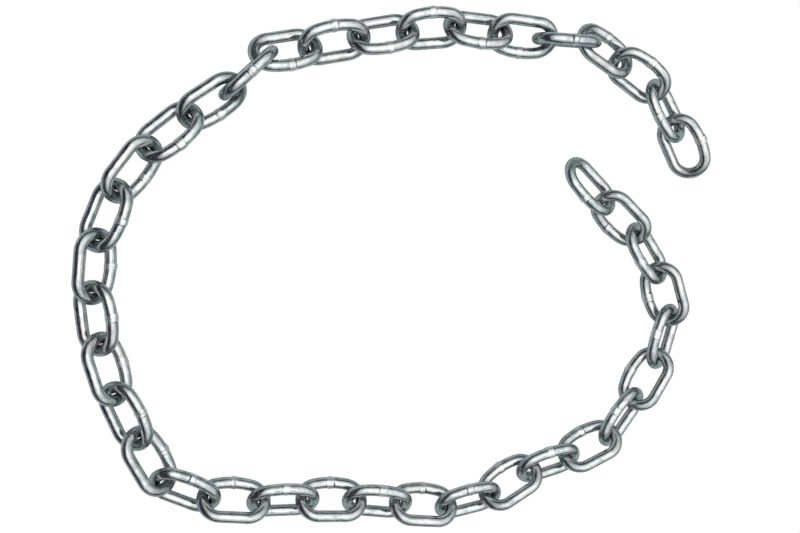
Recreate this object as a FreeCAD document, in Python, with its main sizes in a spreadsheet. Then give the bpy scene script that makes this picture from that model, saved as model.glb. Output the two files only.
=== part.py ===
"""Open length of welded straight-link chain: 38 interlocked wire links lying in a loose open loop.

Frame: millimetres, +Z up, the floor at Z = 0, origin under the middle of the laid-out chain.
Link 1 is the free end on the +X, +Y side and the numbers follow the chain anticlockwise.
"""
import FreeCAD
import Part
import Sketcher
import math
import os

VEC = FreeCAD.Vector

# Driving dimensions, mm
DIMENSIONS = [
    ("wire_diameter", 5.5, "wire thickness"),
    ("inside_length", 24.1, "inside length of a link, equal to the pitch pulled tight"),
    ("inside_width", 11.0, "inside width of a link"),
    ("leg_bow", 0.77, "outward bow of the welded leg"),
    ("weld_width", 3.6, "length of the weld collar along the leg"),
    ("weld_rise", 0.2, "height of the weld collar over the wire"),
    ("weld_sink", 0.25, "depth of the collar's ends below the wire's surface"),
    ("link_gap", 0.3, "slack left between neighbouring links"),
]

# How each link lies, in whole degrees and millimetres: heading from +X, elevation of the welded leg
# from the left of travel, far end up, shift to the left, extra slack towards the link before
LAY = [
    (116, 140, 0, 0, 0), (119, 38, 0, 1, 3), (144, 141, -4, 0, 0), (150, 208, 6, 0, 0),
    (177, 86, 0, 2, 0), (173, -34, -6, 0, 0), (175, 40, 0, 0, 0), (185, 140, 0, 0, 0),
    (190, 40, 0, 0, 0), (190, 140, 0, 0, 0), (190, 36, 6, 0, 0), (222, 88, 0, 2, 0),
    (213, -40, -6, 0, 0), (218, 38, 0, 0, 0), (232, -40, 0, 0, 0), (247, 38, 0, 0, 0),
    (264, -40, 0, 0, 0), (275, 38, 0, 0, 0), (285, -40, 0, 0, 0), (292, 38, 0, 0, 0),
    (297, -40, 0, 0, 0), (334, 38, 0, 0, 0), (352, -40, 0, 0, 0), (357, 38, 0, 0, 0),
    (355, -40, 0, 0, 0), (350, 38, 0, 0, 0), (352, -40, 0, 0, 0), (369, 38, 0, 0, 0),
    (389, -40, 0, 0, 0), (373, 38, 0, 0, 0), (383, -40, 0, 0, 0), (413, 38, 0, 0, 0),
    (418, -40, 0, 0, 0), (433, 38, 0, 0, 0), (467, -40, 0, 0, 0), (483, 38, 0, 0, 0),
    (496, -40, 0, 0, 0), (495, 38, 0, 0, 0),
]
LAY_NAMES = ("heading", "roll", "pitch", "side", "slack")

NEAREST_OVERLAP = 5.0    # mm, where the search for two links' overlap starts
SEARCH_STEP = 0.2        # mm, coarse step of that search
SEARCH_HALVINGS = 6      # times the last step is halved

doc = FreeCAD.newDocument("chain")
dims = doc.addObject("Spreadsheet::Sheet", "Dims")
lay = doc.addObject("Spreadsheet::Sheet", "Lay")


def fill_sheets():
    for row, (alias, value, note) in enumerate(DIMENSIONS, 1):
        dims.set("A%d" % row, alias)
        dims.set("B%d" % row, str(value))
        dims.set("C%d" % row, note)
        dims.setAlias("B%d" % row, alias)
    for row, values in enumerate(LAY, 1):
        for column, (name, value) in enumerate(zip(LAY_NAMES, values)):
            cell = "%s%d" % ("ABCDE"[column], row)
            lay.set(cell, str(value))
            lay.setAlias(cell, "%s_%02d" % (name, row))
    doc.recompute()


def origin_plane(body, role):
    for feature in body.Origin.OriginFeatures:
        if feature.Role == role:
            return feature
    raise RuntimeError("no origin plane " + role)


def add_sketch(body, name, role):
    sketch = body.newObject("Sketcher::SketchObject", name)
    sketch.AttachmentSupport = (origin_plane(body, role), [""])
    sketch.MapMode = "FlatFace"
    return sketch


def drive(sketch, constraint, name, formula):
    index = sketch.addConstraint(constraint)
    sketch.renameConstraint(index, name)
    sketch.setExpression("Constraints." + name, formula)


class Outline:
    """The centre line of one link in its own plane: X along the link, +Y the welded side."""

    def __init__(self):
        self.wire = float(dims.wire_diameter)
        self.crown = (float(dims.inside_width) + self.wire) / 2
        self.straight = (float(dims.inside_length) - float(dims.inside_width)) / 2
        self.reach = self.straight + self.crown
        bow = float(dims.leg_bow)
        self.crest = self.crown + bow
        offset = (self.straight ** 2 + bow ** 2) / (2 * bow)
        self.bow_radius = self.crown + offset
        self.bow_angle = math.asin(self.straight / offset)
        self.bow_centre = self.crest - self.bow_radius

    def right_crown(self):
        return VEC(self.straight, 0, 0), self.crown, -math.pi / 2, math.pi / 2 - self.bow_angle

    def bow(self):
        return (VEC(0, self.bow_centre, 0), self.bow_radius,
                math.pi / 2 - self.bow_angle, math.pi / 2 + self.bow_angle)

    def left_crown(self):
        return VEC(-self.straight, 0, 0), self.crown, math.pi / 2 + self.bow_angle, math.pi * 3 / 2

    def arc(self, values):
        centre, radius, start, end = values
        return Part.ArcOfCircle(Part.Circle(centre, VEC(0, 0, 1), radius), start, end)

    def curves(self):
        back = -self.crown
        return [
            Part.LineSegment(VEC(0, back, 0), VEC(self.straight, back, 0)),
            self.arc(self.right_crown()),
            self.arc(self.bow()),
            self.arc(self.left_crown()),
            Part.LineSegment(VEC(-self.straight, back, 0), VEC(0, back, 0)),
        ]

    def closed_wire(self):
        return Part.Wire([curve.toShape() for curve in self.curves()])


fill_sheets()
outline = Outline()
CROWN = "(Dims.inside_width + Dims.wire_diameter) / 2"
STRAIGHT = "(Dims.inside_length - Dims.inside_width) / 2"
BOW_RADIUS = CROWN + " + ((" + STRAIGHT + ")^2 + Dims.leg_bow^2) / (2 * Dims.leg_bow)"
CREST = CROWN + " + Dims.leg_bow"
COLLAR_END = "Dims.wire_diameter / 2 - Dims.weld_sink"
COLLAR_SAG = "(Dims.weld_rise + Dims.weld_sink)"
COLLAR_RADIUS = "(Dims.weld_width^2 / 4 + " + COLLAR_SAG + "^2) / (2 * " + COLLAR_SAG + ")"


def draw_path(body, label):
    """The centre line as a closed sketch, starting in the middle of the back leg."""
    path = add_sketch(body, label + "_path", "XY_Plane")
    first, right, top, left, last = path.addGeometry(outline.curves(), False)
    for curve, following in ((first, right), (right, top), (top, left), (left, last)):
        path.addConstraint(Sketcher.Constraint("Tangent", curve, 2, following, 1))
    path.addConstraint(Sketcher.Constraint("Coincident", last, 2, first, 1))
    path.addConstraint(Sketcher.Constraint("Horizontal", first))
    path.addConstraint(Sketcher.Constraint("Horizontal", last))
    path.addConstraint(Sketcher.Constraint("PointOnObject", first, 1, -2))
    path.addConstraint(Sketcher.Constraint("PointOnObject", right, 3, -1))
    path.addConstraint(Sketcher.Constraint("Equal", first, last))
    path.addConstraint(Sketcher.Constraint("Equal", right, left))
    drive(path, Sketcher.Constraint("Radius", right, outline.crown), "crown_radius", CROWN)
    drive(path, Sketcher.Constraint("Distance", first, outline.straight), "half_straight", STRAIGHT)
    drive(path, Sketcher.Constraint("Radius", top, outline.bow_radius), "bow_radius", BOW_RADIUS)
    return path


def draw_section(body, label):
    """The round wire where it crosses the plane through the middle of the back leg."""
    section = add_sketch(body, label + "_section", "YZ_Plane")
    circle = section.addGeometry(
        Part.Circle(VEC(-outline.crown, 0, 0), VEC(0, 0, 1), outline.wire / 2), False)
    section.addConstraint(Sketcher.Constraint("PointOnObject", circle, 3, -1))
    drive(section, Sketcher.Constraint("DistanceX", circle, 3, -1, 1, outline.crown), "offset", CROWN)
    drive(section, Sketcher.Constraint("Diameter", circle, outline.wire), "wire",
          "Dims.wire_diameter")
    return section


def draw_collar(body, label):
    """Half of the weld collar's outline, over the crest of the bowed leg."""
    half = float(dims.weld_width) / 2
    end = outline.wire / 2 - float(dims.weld_sink)
    sag = float(dims.weld_rise) + float(dims.weld_sink)
    radius = (half ** 2 + sag ** 2) / (2 * sag)
    middle = VEC(0, end + sag - radius, 0)
    lean = math.asin(half / radius)
    collar = add_sketch(body, label + "_collar", "XY_Plane")
    collar.AttachmentOffset = FreeCAD.Placement(VEC(0, outline.crest, 0), FreeCAD.Rotation())
    collar.setExpression("AttachmentOffset.Base.y", CREST)
    base, left, right, top = collar.addGeometry([
        Part.LineSegment(VEC(half, 0, 0), VEC(-half, 0, 0)),
        Part.LineSegment(VEC(-half, 0, 0), VEC(-half, end, 0)),
        Part.LineSegment(VEC(half, end, 0), VEC(half, 0, 0)),
        outline.arc((middle, radius, math.pi / 2 - lean, math.pi / 2 + lean)),
    ], False)
    collar.addConstraint(Sketcher.Constraint("PointOnObject", base, 1, -1))
    collar.addConstraint(Sketcher.Constraint("Symmetric", base, 1, base, 2, -1, 1))
    collar.addConstraint(Sketcher.Constraint("Coincident", base, 2, left, 1))
    collar.addConstraint(Sketcher.Constraint("Coincident", right, 2, base, 1))
    collar.addConstraint(Sketcher.Constraint("Coincident", top, 1, right, 1))
    collar.addConstraint(Sketcher.Constraint("Coincident", top, 2, left, 2))
    collar.addConstraint(Sketcher.Constraint("Vertical", left))
    collar.addConstraint(Sketcher.Constraint("Vertical", right))
    collar.addConstraint(Sketcher.Constraint("Equal", left, right))
    drive(collar, Sketcher.Constraint("Distance", base, 2 * half), "width", "Dims.weld_width")
    drive(collar, Sketcher.Constraint("Distance", left, end), "end_height", COLLAR_END)
    drive(collar, Sketcher.Constraint("Radius", top, radius), "rise_radius", COLLAR_RADIUS)
    return collar


def add_link(label):
    """One link in its own frame: round wire swept round the centre line, closed by a butt weld."""
    body = doc.addObject("PartDesign::Body", label)
    body.Label = label
    pipe = body.newObject("PartDesign::AdditivePipe", label + "_wire")
    pipe.Spine = draw_path(body, label)
    pipe.Profile = draw_section(body, label)
    weld = body.newObject("PartDesign::Revolution", label + "_weld")
    weld.Profile = draw_collar(body, label)
    weld.ReferenceAxis = (weld.Profile[0], ["H_Axis"])
    weld.Angle = 360
    body.Tip = weld
    return body


def laid_value(name, number):
    return float(getattr(lay, "%s_%02d" % (name, number)))


def lie(number):
    """Directions of a link's own X, Y and Z axes as it lies."""
    heading, roll, pitch = [math.radians(laid_value(name, number)) for name in LAY_NAMES[:3]]
    along = VEC(math.cos(heading) * math.cos(pitch), math.sin(heading) * math.cos(pitch),
                math.sin(pitch))
    left = VEC(-math.sin(heading), math.cos(heading), 0)
    across = left * math.cos(roll) + along.cross(left) * math.sin(roll)
    return along, across, along.cross(across)


def to_matrix(axes, at):
    x, y, z = axes
    return FreeCAD.Matrix(x.x, y.x, z.x, at.x, x.y, y.y, z.y, at.y, x.z, y.z, z.z, at.z, 0, 0, 0, 1)


def clearance(ring, matrix, before):
    return ring.transformed(matrix).distToShape(before)[0] - outline.wire


def next_centre(ring, number, before, axes, height):
    """Where a link's centre lies so that it hangs in the one before with the set slack."""
    last_axes, last_centre = before
    last_ring = ring.transformed(to_matrix(last_axes, last_centre))
    bisector = last_axes[0] + axes[0]
    bisector.z = 0
    bisector.normalize()
    left = VEC(-bisector.y, bisector.x, 0)
    start = last_centre + (last_axes[0] + axes[0]) * outline.reach + left * laid_value("side", number)
    gap = float(dims.link_gap)

    def centre_at(overlap):
        centre = start - bisector * overlap
        centre.z = height
        return centre

    def free(overlap):
        return clearance(ring, to_matrix(axes, centre_at(overlap)), last_ring) >= gap

    overlap = NEAREST_OVERLAP
    while not free(overlap):
        overlap += SEARCH_STEP
        if overlap > 2 * outline.wire:
            raise RuntimeError("link %d can't hang in the one before" % number)
    step = SEARCH_STEP
    for halving in range(SEARCH_HALVINGS):
        step /= 2
        if free(overlap - step):
            overlap -= step
    return centre_at(overlap + laid_value("slack", number))


def lay_chain(bodies):
    """Sets every link down on the floor, each hanging in the one before."""
    ring = outline.closed_wire()
    before = None
    for number, body in enumerate(bodies, 1):
        axes = lie(number)
        turned = body.Shape.transformed(to_matrix(axes, VEC(0, 0, 0)))
        height = -turned.optimalBoundingBox(False).ZMin
        if before is None:
            centre = VEC(0, 0, height)
        else:
            centre = next_centre(ring, number, before, axes, height)
        body.Placement = FreeCAD.Placement(to_matrix(axes, centre))
        before = (axes, centre)


def centre_on_origin(bodies):
    boxes = [body.Shape.optimalBoundingBox(False) for body in bodies]
    middle = VEC((min(box.XMin for box in boxes) + max(box.XMax for box in boxes)) / 2,
                 (min(box.YMin for box in boxes) + max(box.YMax for box in boxes)) / 2, 0)
    for body in bodies:
        body.Placement.Base = body.Placement.Base - middle


def check_and_export(bodies):
    doc.recompute()
    for item in doc.Objects:
        if "Invalid" in item.State or "Error" in item.State:
            raise RuntimeError("%s didn't recompute: %s" % (item.Label, item.State))
    for body in bodies:
        if body.Shape.isNull() or not body.Shape.isValid() or len(body.Shape.Solids) != 1:
            raise RuntimeError("%s isn't one valid solid" % body.Label)
    os.makedirs("parts", exist_ok=True)
    for body in bodies:
        body.Shape.exportStep("parts/%s.step" % body.Label)


links = [add_link("link_%02d" % number) for number in range(1, len(LAY) + 1)]
doc.recompute()
lay_chain(links)
centre_on_origin(links)
check_and_export(links)
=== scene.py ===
"""Bright zinc-plated welded chain on a white table, in a room with a bright ceiling and a softbox.

Every link is a round wire swept round a closed line, with a butt weld in the middle of its bowed leg,
built where its CAD solid lies. Lengths are metres, and those whose name ends in _MM are millimetres.
"""
import math

import bpy
import numpy as np
from mathutils import Matrix, Vector


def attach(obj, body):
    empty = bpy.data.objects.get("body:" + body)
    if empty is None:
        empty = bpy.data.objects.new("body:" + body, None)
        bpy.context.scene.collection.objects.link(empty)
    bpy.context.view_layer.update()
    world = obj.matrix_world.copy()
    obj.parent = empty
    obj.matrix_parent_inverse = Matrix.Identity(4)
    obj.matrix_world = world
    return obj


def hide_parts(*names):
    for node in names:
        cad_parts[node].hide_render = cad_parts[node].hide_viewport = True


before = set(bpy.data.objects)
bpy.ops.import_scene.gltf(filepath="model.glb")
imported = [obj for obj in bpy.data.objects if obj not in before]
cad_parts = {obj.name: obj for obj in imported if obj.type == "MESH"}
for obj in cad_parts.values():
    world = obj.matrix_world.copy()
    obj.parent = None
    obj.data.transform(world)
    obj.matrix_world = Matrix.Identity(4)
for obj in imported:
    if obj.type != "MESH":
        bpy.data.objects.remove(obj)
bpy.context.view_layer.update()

MM = 1000
TURN = 2 * math.pi
WHITE = (1, 1, 1)


# ---------------------------------------------------------------- shader helpers
def add_node(tree, kind, **settings):
    node = tree.nodes.new(kind)
    for name, value in settings.items():
        setattr(node, name, value)
    return node


def set_colour(tree, socket, colour):
    """A socket's colour: a plain one as a tuple, or another node's output."""
    if isinstance(colour, tuple):
        socket.default_value = (*colour, 1)
    else:
        tree.links.new(colour, socket)


def ramp(tree, source, stops):
    node = add_node(tree, "ShaderNodeValToRGB")
    elements = node.color_ramp.elements
    while len(elements) < len(stops):
        elements.new(0.5)
    for element, (position, colour) in zip(elements, stops):
        element.position = position
        element.color = (*colour, 1)
    tree.links.new(source, node.inputs["Fac"])
    return node.outputs["Color"]


def noise(tree, vector, scale, detail, roughness=0.55):
    node = add_node(tree, "ShaderNodeTexNoise")
    node.inputs["Scale"].default_value = scale
    node.inputs["Detail"].default_value = detail
    node.inputs["Roughness"].default_value = roughness
    tree.links.new(vector, node.inputs["Vector"])
    return node.outputs["Fac"]


def mix_colours(tree, share, first, second):
    node = add_node(tree, "ShaderNodeMix", data_type="RGBA")
    tree.links.new(share, node.inputs["Factor"])
    set_colour(tree, node.inputs["A"], first)
    set_colour(tree, node.inputs["B"], second)
    return node.outputs["Result"]


def scaled(tree, value, low, high, to_low, to_high):
    node = add_node(tree, "ShaderNodeMapRange")
    tree.links.new(value, node.inputs["Value"])
    for name, number in (("From Min", low), ("From Max", high),
                         ("To Min", to_low), ("To Max", to_high)):
        node.inputs[name].default_value = number
    return node.outputs["Result"]


def combined(tree, operation, first, second, third=None):
    node = add_node(tree, "ShaderNodeMath", operation=operation)
    for socket, value in zip(node.inputs, (first, second, third)):
        if isinstance(value, (int, float)):
            socket.default_value = value
        elif value is not None:
            tree.links.new(value, socket)
    return node.outputs[0]


def background(tree, colour, strength):
    node = add_node(tree, "ShaderNodeBackground")
    set_colour(tree, node.inputs["Color"], colour)
    node.inputs["Strength"].default_value = strength
    return node.outputs[0]


def clear_shader(tree, colour):
    node = add_node(tree, "ShaderNodeBsdfTransparent")
    set_colour(tree, node.inputs["Color"], colour)
    return node.outputs[0]


def mix_shaders(tree, share, first, second):
    node = add_node(tree, "ShaderNodeMixShader")
    tree.links.new(share, node.inputs["Fac"])
    tree.links.new(first, node.inputs[1])
    tree.links.new(second, node.inputs[2])
    return node.outputs[0]


def add_object(name, data):
    """A new object in the scene's own collection."""
    made = bpy.data.objects.new(name, data)
    bpy.context.scene.collection.objects.link(made)
    return made


# ---------------------------------------------------------------- camera
# Its place, aim, roll and lens are the result of a least-squares fit. They weren't chosen by hand.
CAMERA_AT = Vector((-0.1282, 0.0524, 0.490))
CAMERA_TO = Vector((-0.00363, 0.00233, 0.0))
CAMERA_ROLL = math.radians(-0.46)
LENS_MM = 46.62
SENSOR_MM = 36
NEAREST_SEEN = 0.01
FARTHEST_SEEN = 50


def make_camera():
    data = bpy.data.cameras.new("camera")
    data.sensor_width = SENSOR_MM
    data.lens = LENS_MM
    data.clip_start = NEAREST_SEEN
    data.clip_end = FARTHEST_SEEN
    camera = add_object("camera", data)
    forward = (CAMERA_TO - CAMERA_AT).normalized()
    level = forward.cross(Vector((0, 1, 0))).normalized()
    upright = level.cross(forward)
    cosine, sine = math.cos(CAMERA_ROLL), math.sin(CAMERA_ROLL)
    right = level * cosine + upright * sine
    up = upright * cosine - level * sine
    camera.matrix_world = Matrix((
        (right.x, up.x, -forward.x, CAMERA_AT.x),
        (right.y, up.y, -forward.y, CAMERA_AT.y),
        (right.z, up.z, -forward.z, CAMERA_AT.z),
        (0, 0, 0, 1)))
    bpy.context.scene.camera = camera


# ---------------------------------------------------------------- surroundings
MIRRORED_LIGHT = 1.55
TABLE_LIGHT = 3.4
SEEN_LIGHT = 1.0
ROOM_TILT = 0.28
CLUTTER_SCALE = 3.2
CLUTTER_REACH = 0.09
ROOM = [    # from the floor up, as the metal mirrors it
    (0.0, (0.030, 0.038, 0.042)),
    (0.20, (0.022, 0.030, 0.032)),
    (0.40, (0.060, 0.072, 0.078)),
    (0.50, (0.26, 0.29, 0.30)),
    (0.62, (0.52, 0.55, 0.56)),
    (0.80, (0.72, 0.75, 0.755)),
    (0.90, (0.95, 0.97, 0.96)),
    (1.0, (1.0, 1.0, 0.98)),
]

SOFTBOX_AT = (0.05, 0.05, 1.3)
SOFTBOX_TO = (0, 0, 0)
SOFTBOX_SIZE = (1.0, 0.8)
SOFTBOX_WATTS = 1.6

TABLE_HALF = 6.0
TABLE_DROP = 0.00005    # below the links, so that they don't share a surface with it
TABLE_COLOUR = (0.97, 0.97, 0.97)
TABLE_MIRRORED = (0.142, 0.172, 0.181)
CONTACT_REACH = 0.010
CONTACT_SHADE = [    # from a crevice to open table
    (0.0, (0.50, 0.52, 0.53)),
    (0.18, (0.86, 0.87, 0.88)),
    (0.34, WHITE),
]

FLAG_HALF_LENGTH = 0.5
FLAG_FOOT = (-0.42, 0.03)    # x and z of the lower edge
FLAG_HEAD = (-0.34, 0.46)    # x and z of the upper edge
FLAG_COLOUR = (0.010, 0.007, 0.014)


def make_world():
    """Even white light for the table, and a room with a bright ceiling for the metal to mirror."""
    world = bpy.data.worlds.new("studio")
    bpy.context.scene.world = world
    world.use_nodes = True
    tree = world.node_tree
    tree.nodes.clear()
    where = add_node(tree, "ShaderNodeTexCoord").outputs["Generated"]
    split = add_node(tree, "ShaderNodeSeparateXYZ")
    tree.links.new(where, split.inputs[0])
    tilted = combined(tree, "MULTIPLY_ADD", split.outputs["X"], ROOM_TILT, split.outputs["Z"])
    clutter = scaled(tree, noise(tree, where, CLUTTER_SCALE, 2), 0.3, 0.7,
                     -CLUTTER_REACH, CLUTTER_REACH)
    room = ramp(tree, combined(tree, "ADD", tilted, clutter), ROOM)
    path = add_node(tree, "ShaderNodeLightPath")
    mirrored = background(tree, room, MIRRORED_LIGHT)
    even = background(tree, WHITE, TABLE_LIGHT)
    seen = background(tree, WHITE, SEEN_LIGHT)
    lit = mix_shaders(tree, path.outputs["Is Glossy Ray"], even, mirrored)
    shown = mix_shaders(tree, path.outputs["Is Camera Ray"], lit, seen)
    out = add_node(tree, "ShaderNodeOutputWorld")
    tree.links.new(shown, out.inputs["Surface"])


def make_softbox():
    data = bpy.data.lights.new("softbox", "AREA")
    data.shape = "RECTANGLE"
    data.size, data.size_y = SOFTBOX_SIZE
    data.energy = SOFTBOX_WATTS
    light = add_object("softbox", data)
    light.location = SOFTBOX_AT
    light.rotation_mode = "QUATERNION"
    aim = Vector(SOFTBOX_TO) - Vector(SOFTBOX_AT)
    light.rotation_quaternion = aim.to_track_quat("-Z", "Y")
    light.visible_camera = False


def table_material():
    """White where it is lit, clear to the camera but for a contact shade, and darker to the metal."""
    material = bpy.data.materials.new("white_table")
    material.use_nodes = True
    tree = material.node_tree
    shader = tree.nodes["Principled BSDF"]
    set_colour(tree, shader.inputs["Base Color"], TABLE_COLOUR)
    shader.inputs["Roughness"].default_value = 0.9
    shader.inputs["Specular IOR Level"].default_value = 0.1
    mirrored = add_node(tree, "ShaderNodeBsdfDiffuse")
    set_colour(tree, mirrored.inputs["Color"], TABLE_MIRRORED)
    path = add_node(tree, "ShaderNodeLightPath")
    side = add_node(tree, "ShaderNodeNewGeometry")
    for_metal = mix_shaders(tree, side.outputs["Backfacing"], mirrored.outputs[0],
                            clear_shader(tree, WHITE))
    lit = mix_shaders(tree, path.outputs["Is Glossy Ray"], shader.outputs[0], for_metal)
    contact = add_node(tree, "ShaderNodeAmbientOcclusion", samples=16)
    contact.inputs["Distance"].default_value = CONTACT_REACH
    shade = clear_shader(tree, ramp(tree, contact.outputs["AO"], CONTACT_SHADE))
    shown = mix_shaders(tree, path.outputs["Is Camera Ray"], lit, shade)
    tree.links.new(shown, tree.nodes["Material Output"].inputs["Surface"])
    return material


def make_table():
    """White table. The camera sees through it, so links that swing below it stay in sight."""
    mesh = bpy.data.meshes.new("floor")
    half = TABLE_HALF
    mesh.from_pydata([(-half, -half, 0), (half, -half, 0), (half, half, 0), (-half, half, 0)],
                     [], [(0, 1, 2, 3)])
    mesh.materials.append(table_material())
    table = add_object("floor", mesh)
    table.location.z = -TABLE_DROP
    table.visible_shadow = False


def make_flag():
    """A dark flag beside the table: the metal mirrors it, the camera doesn't see it."""
    mesh = bpy.data.meshes.new("flag")
    half = FLAG_HALF_LENGTH
    (foot_x, foot_z), (head_x, head_z) = FLAG_FOOT, FLAG_HEAD
    mesh.from_pydata([(foot_x, -half, foot_z), (foot_x, half, foot_z),
                      (head_x, half, head_z), (head_x, -half, head_z)], [], [(0, 1, 2, 3)])
    material = bpy.data.materials.new("flag")
    material.use_nodes = True
    shader = material.node_tree.nodes["Principled BSDF"]
    set_colour(material.node_tree, shader.inputs["Base Color"], FLAG_COLOUR)
    shader.inputs["Roughness"].default_value = 1.0
    shader.inputs["Specular IOR Level"].default_value = 0.0
    mesh.materials.append(material)
    flag = add_object("flag", mesh)
    flag.visible_camera = False
    flag.visible_shadow = False
    flag.visible_diffuse = False


# ---------------------------------------------------------------- zinc plate
CLOUD_SCALE = 210
STREAK_SCALE = 4.5
TINT_SCALE = 60
GRAIN_SCALE = 1100
WELD_LUMP_SCALE = 700
PLATE = [    # from the dark patches to the bright ones
    (0.38, (0.26, 0.29, 0.305)),
    (0.46, (0.40, 0.425, 0.435)),
    (0.53, (0.52, 0.535, 0.535)),
    (0.62, (0.66, 0.655, 0.64)),
]
WARM_TINT = (0.54, 0.50, 0.475)
WELD_COLOUR = (0.62, 0.625, 0.62)
# painted shade: the crowns are painted darker and greener, where the links bend away from the
# ceiling's light and lie against each other
CROWN_PAINTED_SHADE = (0.27, 0.31, 0.30)
# painted shade: the nick beside the weld is painted near black for the shade inside the notch
NICK_PAINTED_SHADE = (0.03, 0.03, 0.03)
SMOOTHEST, ROUGHEST = 0.10, 0.22
WELD_ROUGHER = 0.14
BUMP_STRENGTH = 0.5
BUMP_DISTANCE = 0.00007


def mesh_value(tree, label, output="Fac"):
    """A value that the link's own mesh carries."""
    return add_node(tree, "ShaderNodeAttribute", attribute_name=label).outputs[output]


def zinc_material():
    """Bright zinc plate: clouded, streaked along the drawn wire, duller and whiter at the weld, with
    painted shade on the crowns and in the nicks.
    """
    material = bpy.data.materials.new("bright_zinc_plate")
    material.use_nodes = True
    tree = material.node_tree
    shader = tree.nodes["Principled BSDF"]
    shader.inputs["Metallic"].default_value = 1.0
    place = add_node(tree, "ShaderNodeTexCoord").outputs["Object"]
    weld = mesh_value(tree, "weld")
    cloud = noise(tree, place, CLOUD_SCALE, 4, 0.6)
    streak = noise(tree, mesh_value(tree, "drawn", "Vector"), STREAK_SCALE, 4, 0.65)
    tint = noise(tree, place, TINT_SCALE, 2)
    grain = noise(tree, place, GRAIN_SCALE, 3)
    blend = combined(tree, "MULTIPLY_ADD", streak, 0.5, combined(tree, "MULTIPLY", cloud, 0.5))

    colour = ramp(tree, blend, PLATE)
    for value, low, high, most, over in (
            (tint, 0.45, 0.75, 0.55, WARM_TINT),
            (weld, 0.0, 1.0, 0.8, WELD_COLOUR),
            # painted shade: the crowns are painted a quarter of the way to a darker green grey
            (mesh_value(tree, "crown"), 0.0, 1.0, 0.25, CROWN_PAINTED_SHADE),
            # painted shade: the nicks are painted fully near black
            (mesh_value(tree, "nick"), 0.0, 1.0, 1.0, NICK_PAINTED_SHADE)):
        colour = mix_colours(tree, scaled(tree, value, low, high, 0.0, most), colour, over)
    tree.links.new(colour, shader.inputs["Base Color"])

    rough = scaled(tree, blend, 0.35, 0.65, SMOOTHEST, ROUGHEST)
    rough = combined(tree, "MULTIPLY_ADD", weld, WELD_ROUGHER, rough)
    tree.links.new(rough, shader.inputs["Roughness"])

    weld_lumps = noise(tree, place, WELD_LUMP_SCALE, 2)
    lumps = combined(tree, "MULTIPLY_ADD", weld, weld_lumps, grain)
    lumps = combined(tree, "ADD", lumps, streak)
    bump = add_node(tree, "ShaderNodeBump")
    bump.inputs["Strength"].default_value = BUMP_STRENGTH
    bump.inputs["Distance"].default_value = BUMP_DISTANCE
    tree.links.new(lumps, bump.inputs["Height"])
    tree.links.new(bump.outputs["Normal"], shader.inputs["Normal"])
    return material


# ---------------------------------------------------------------- centre line of a link
WIRE_R = 0.00275
CROWN_R = 0.00825
HALF_STRAIGHT = 0.00655
LEG_BOW = 0.00077
STATIONS = 420    # round the link
AROUND = 72       # round the wire
ANGLES = np.arange(AROUND) * TURN / AROUND    # from the outside of the link


def arc(centre, radius, angle):
    """A point of an arc, and the outward direction there."""
    out = (math.cos(angle), math.sin(angle))
    return (centre[0] + radius * out[0], centre[1] + radius * out[1]), out


def centre_line():
    """Points, outward directions, distances from the weld, and 1 for a crown or 0 for a leg."""
    offset = (HALF_STRAIGHT ** 2 + LEG_BOW ** 2) / (2 * LEG_BOW)
    bow_radius = CROWN_R + offset
    bow_angle = math.asin(HALF_STRAIGHT / offset)
    bow_centre = (0, CROWN_R + LEG_BOW - bow_radius)
    back = 2 * HALF_STRAIGHT
    crown = CROWN_R * (math.pi - bow_angle)
    bow = bow_radius * 2 * bow_angle
    total = back + crown + bow + crown
    points, outward, crowns = [], [], []
    for station in range(STATIONS):
        s = total * station / STATIONS
        if s < back:
            at, out, on_crown = (s - HALF_STRAIGHT, -CROWN_R), (0, -1), 0
        elif s < back + crown:
            at, out = arc((HALF_STRAIGHT, 0), CROWN_R, -math.pi / 2 + (s - back) / CROWN_R)
            on_crown = 1
        elif s < total - crown:
            start = math.pi / 2 - bow_angle
            at, out = arc(bow_centre, bow_radius, start + (s - back - crown) / bow_radius)
            on_crown = 0
        else:
            start = math.pi / 2 + bow_angle
            at, out = arc((-HALF_STRAIGHT, 0), CROWN_R, start + (s - total + crown) / CROWN_R)
            on_crown = 1
        points.append(at)
        outward.append(out)
        crowns.append(on_crown)
    from_weld = np.arange(STATIONS) * total / STATIONS - (back + crown + bow / 2)
    from_weld = (from_weld + total / 2) % total - total / 2
    return np.array(points), np.array(outward), from_weld, np.array(crowns, float)


POINTS, OUTWARD, FROM_WELD, CROWNS = centre_line()

# ---------------------------------------------------------------- weld and waviness
# A pair is the range that each link's own value is drawn from.
WELD_HALF_MM = (1.3, 1.9)
WELD_SHIFT_MM = (-0.3, 0.3)
EDGE_WANDER_MM = 0.38
EDGE_SOFT_MM = 0.17
BAND_MM = 0.07
BURR_LEAN = (-0.6, 0.6)    # radians
OUTER_BURR_MM = (0.22, 0.36)
INNER_BURR_MM = (0.08, 0.20)
BURR_UNEVEN = 0.35
RIDGE_SHIFT_MM = (-0.3, 0.3)
RIDGE_WANDER_MM = 0.18
RIDGE_MM = (0.08, 0.20)
RIDGE_REACH_MM = 0.30
RIDGE_UNEVEN = 0.5
PINCH_MM = 0.05
PINCH_OUT_MM = 0.45
PINCH_REACH_MM = 0.24
NICK_OUT_MM = 0.35
NICK_REACH_MM = 0.20
NICK_SPREAD = 0.30    # radians squared
NICK_MM = (0.15, 0.35)
SLOW_WAVE_MM = 0.02
SLOW_WAVE_STATIONS = 14
CROWN_BLEND_STATIONS = 6
FIRST_SEED = 1000
STREAK_LENGTHWAYS = 45    # streak pattern per metre of wire
STREAK_APART = 3          # between one link's streaks and the next one's


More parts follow.
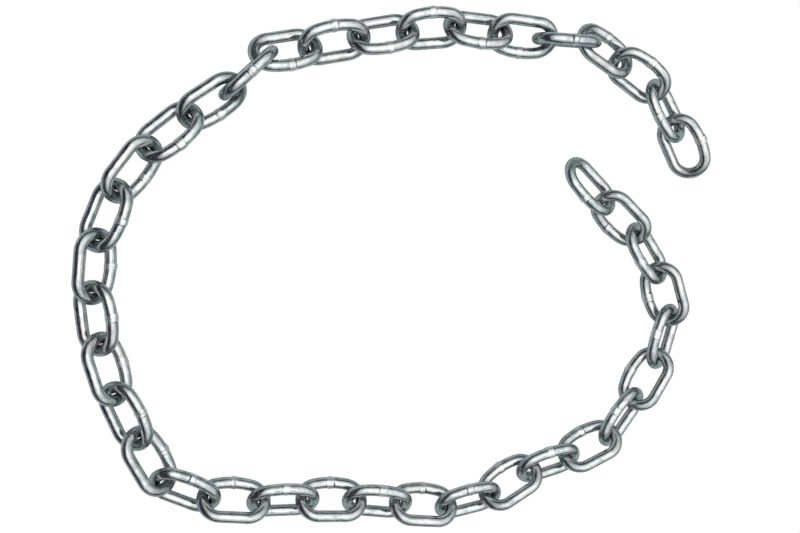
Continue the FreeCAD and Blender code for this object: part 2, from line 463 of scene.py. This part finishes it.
def smooth_loop(values, width):
    """A closed row of numbers blurred over width stations."""
    reach = 3 * width
    kernel = np.exp(-0.5 * (np.arange(-reach, reach + 1) / width) ** 2)
    kernel /= kernel.sum()
    wrapped = np.concatenate([values[-reach:], values, values[:reach]])
    return np.convolve(wrapped, kernel, "valid")


def waves(rng, calm, top):
    """Random waviness round the wire, with up to top waves in a turn. More calm makes it lower."""
    total = np.zeros_like(ANGLES)
    for order in range(1, top + 1):
        total += rng.normal() / order * np.cos(order * ANGLES + rng.uniform(0, TURN))
    return total / calm


def hump(x, at, reach):
    return np.exp(-((x - at) / reach) ** 2)


def burr_height(rng):
    """The flash is trimmed nearly flat above and below, and stands proud on the outside."""
    proud = np.cos(ANGLES - rng.uniform(*BURR_LEAN))
    height = BAND_MM + rng.uniform(*OUTER_BURR_MM) * np.clip(proud, 0, 1) ** 2
    height = height + rng.uniform(*INNER_BURR_MM) * np.clip(-proud, 0, 1) ** 2
    return height * (1 + BURR_UNEVEN * waves(rng, 1.2, 5))


def weld_ridge(rng, x, shift):
    """A thin uneven ridge where the wire's two ends met."""
    at = shift + rng.uniform(*RIDGE_SHIFT_MM) + RIDGE_WANDER_MM * waves(rng, 1.4, 5)
    ridge = rng.uniform(*RIDGE_MM) * hump(x, at, RIDGE_REACH_MM)
    return ridge * (1 + RIDGE_UNEVEN * waves(rng, 1.2, 6))


def weld_nick(rng, x, half, shift):
    """Share of a nick beside the weld, part of the way round."""
    at = shift + rng.choice((-1, 1)) * (half + NICK_OUT_MM)
    away = (ANGLES - rng.uniform(0, TURN) + math.pi) % TURN - math.pi
    return hump(x, at, NICK_REACH_MM) * np.exp(-away ** 2 / NICK_SPREAD)


def link_surface(rng):
    """Radius, weld share and nick share at every station and angle."""
    x = FROM_WELD[:, None] * MM
    half = rng.uniform(*WELD_HALF_MM)
    shift = rng.uniform(*WELD_SHIFT_MM)
    left = -half + shift + EDGE_WANDER_MM * waves(rng, 1.3, 6)
    right = half + shift + EDGE_WANDER_MM * waves(rng, 1.3, 6)
    weld = (1 / (1 + np.exp(-(x - left) / EDGE_SOFT_MM))
            / (1 + np.exp((x - right) / EDGE_SOFT_MM)))
    height = burr_height(rng)
    ridge = weld_ridge(rng, x, shift)
    pinch = PINCH_MM * (hump(x, left - PINCH_OUT_MM, PINCH_REACH_MM)
                        + hump(x, right + PINCH_OUT_MM, PINCH_REACH_MM))
    nick = weld_nick(rng, x, half, shift)
    radius = WIRE_R * MM + weld * height + ridge - pinch - rng.uniform(*NICK_MM) * nick
    slow = smooth_loop(rng.normal(size=STATIONS), SLOW_WAVE_STATIONS)
    radius = radius + SLOW_WAVE_MM * (slow / abs(slow).max())[:, None]
    return radius / MM, weld, nick


# ---------------------------------------------------------------- one link
def mesh_corners(mesh):
    """A mesh's points, and the three corners of each of its triangles."""
    at = np.empty(len(mesh.vertices) * 3)
    mesh.vertices.foreach_get("co", at)
    at = at.reshape(-1, 3)
    mesh.calc_loop_triangles()
    corners = np.empty(len(mesh.loop_triangles) * 3, int)
    mesh.loop_triangles.foreach_get("vertices", corners)
    return at, at[corners.reshape(-1, 3)].transpose(1, 0, 2)


def link_frame(node):
    """A link's centre and axes, measured from its CAD solid: long axis, welded side and normal."""
    at, (a, b, c) = mesh_corners(node.data)
    area = np.linalg.norm(np.cross(b - a, c - a), axis=1)
    middle = (a + b + c) / 3
    mean = (middle * area[:, None]).sum(0) / area.sum()
    spread = (middle - mean).T @ ((middle - mean) * area[:, None])
    along, across = np.linalg.eigh(spread)[1].T[:0:-1]
    reach = (at - mean) @ across
    if -reach.min() > reach.max():    # the bowed leg stands farther out
        across, reach = -across, -reach
    normal = np.cross(along, across)
    ends = (at - mean) @ along
    faces = (at - mean) @ normal
    centre = (mean + across * (reach.min() + CROWN_R + WIRE_R)
              + along * (ends.max() + ends.min()) / 2
              + normal * (faces.max() + faces.min()) / 2)
    return centre, along, across, normal


def sweep_faces():
    """Quads of a closed tube, STATIONS long and AROUND round."""
    i = np.arange(STATIONS)[:, None]
    j = np.arange(AROUND)[None, :]
    next_i, next_j = (i + 1) % STATIONS, (j + 1) % AROUND
    return np.stack([i * AROUND + j, next_i * AROUND + j, next_i * AROUND + next_j,
                     i * AROUND + next_j], -1).reshape(-1, 4).tolist()


def add_mesh_values(mesh, weld, nick, number):
    """The values that the zinc plate reads: weld, nick, crown, and a place along the drawn wire."""
    # the crown share carries only the painted shade on the crowns
    crown = np.repeat(smooth_loop(CROWNS, CROWN_BLEND_STATIONS)[:, None], AROUND, 1)
    for label, values in (("weld", weld), ("nick", nick), ("crown", crown)):
        attribute = mesh.attributes.new(label, "FLOAT", "POINT")
        attribute.data.foreach_set("value", values.reshape(-1).astype(np.float32))
    drawn = np.empty((STATIONS, AROUND, 3), np.float32)
    drawn[:, :, 0] = np.cos(ANGLES)[None, :]
    drawn[:, :, 1] = np.sin(ANGLES)[None, :]
    drawn[:, :, 2] = np.abs(FROM_WELD)[:, None] * STREAK_LENGTHWAYS + STREAK_APART * number
    attribute = mesh.attributes.new("drawn", "FLOAT_VECTOR", "POINT")
    attribute.data.foreach_set("vector", drawn.reshape(-1))


def make_link(name, material, number):
    """One link with a weld of its own, in the place of its CAD solid."""
    rng = np.random.default_rng(FIRST_SEED + number)
    radius, weld, nick = link_surface(rng)
    centre, along, across, normal = link_frame(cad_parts[name])
    if rng.integers(2):    # turned end for end
        along, normal = -along, -normal
    out = OUTWARD[:, :1] * along + OUTWARD[:, 1:] * across
    spine = centre + POINTS[:, :1] * along + POINTS[:, 1:] * across
    ring = (np.cos(ANGLES)[None, :, None] * out[:, None, :]
            + np.sin(ANGLES)[None, :, None] * normal[None, None, :])
    at = (spine[:, None, :] + radius[:, :, None] * ring).reshape(-1, 3)
    mesh = bpy.data.meshes.new("wire_" + name)
    mesh.from_pydata(at.tolist(), [], sweep_faces())
    mesh.shade_smooth()
    add_mesh_values(mesh, weld, nick, number)
    mesh.materials.append(material)
    piece = add_object("wire_" + name, mesh)
    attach(piece, name)
    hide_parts(name)


# ---------------------------------------------------------------- scene
bpy.context.scene.view_settings.view_transform = "Standard"
make_camera()
make_world()
make_table()
make_softbox()
make_flag()
zinc = zinc_material()
for number, name in enumerate(sorted(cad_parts)):
    make_link(name, zinc, number)
